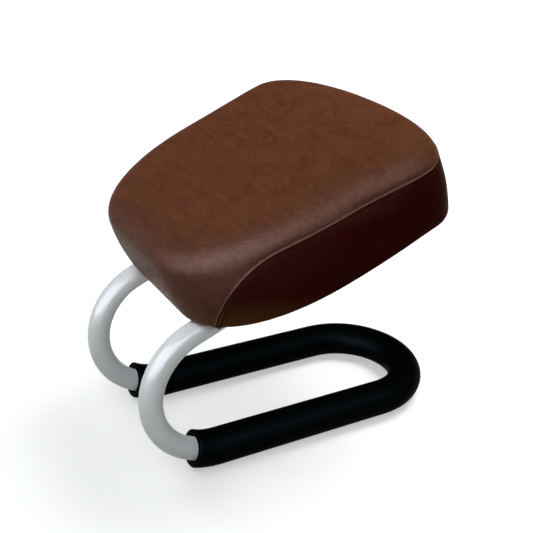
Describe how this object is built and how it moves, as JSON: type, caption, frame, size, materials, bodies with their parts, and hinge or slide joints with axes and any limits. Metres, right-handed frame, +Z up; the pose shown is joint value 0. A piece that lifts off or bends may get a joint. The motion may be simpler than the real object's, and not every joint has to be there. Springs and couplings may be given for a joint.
{
  "type": "kneeling meditation stool",
  "caption": "Low cantilever kneeling stool: a bent tube frame with a foam-sleeved floor loop carries a forward-sloping, thickly padded seat.",
  "frame": {"origin": "on the floor, at the middle of the stool's footprint box", "axes": "+Z up; the sitter faces -Y, the low front of the seat and the C-bends of the frame are at -Y, and the closed end of the floor loop is at +Y; +X is the sitter's left-right axis, the two halves being alike"},
  "size_m": [0.33, 0.4056, 0.3676],
  "materials": {
    "pearl_white_paint": "satin powder coat with a soft pearly sheen",
    "black_foam_sleeve": "matte closed-cell foam with a fine skin",
    "black_plug_plastic": "moulded, matte",
    "birch_plywood": "raw plywood",
    "seat_foam": "moulded seat foam",
    "brown_leatherette": "fine-grained leatherette with a soft sheen and mottled colour",
    "brown_leatherette_side": "the same leatherette, on the side band",
    "black_dust_sheet": "thin black felt",
    "zinc_plated_steel": "zinc plated"
  },
  "bodies": {
    "root": {"frame_tube": "pearl_white_paint", "foam_sleeve": "black_foam_sleeve", "tube_end_plug_left": "black_plug_plastic", "tube_end_plug_right": "black_plug_plastic", "seat_board": "birch_plywood", "seat_foam": "seat_foam", "cover_top_panel": "brown_leatherette", "cover_side_band": "brown_leatherette_side", "dust_sheet": "black_dust_sheet", "tee_nut_front_left": "zinc_plated_steel", "tee_nut_front_right": "zinc_plated_steel", "tee_nut_rear_left": "zinc_plated_steel", "tee_nut_rear_right": "zinc_plated_steel", "bolt_front_left": "zinc_plated_steel", "bolt_front_right": "zinc_plated_steel", "bolt_rear_left": "zinc_plated_steel", "bolt_rear_right": "zinc_plated_steel", "saddle_washer_front_left": "zinc_plated_steel", "saddle_washer_front_right": "zinc_plated_steel", "saddle_washer_rear_left": "zinc_plated_steel", "saddle_washer_rear_right": "zinc_plated_steel"}
  },
  "joints": []
}
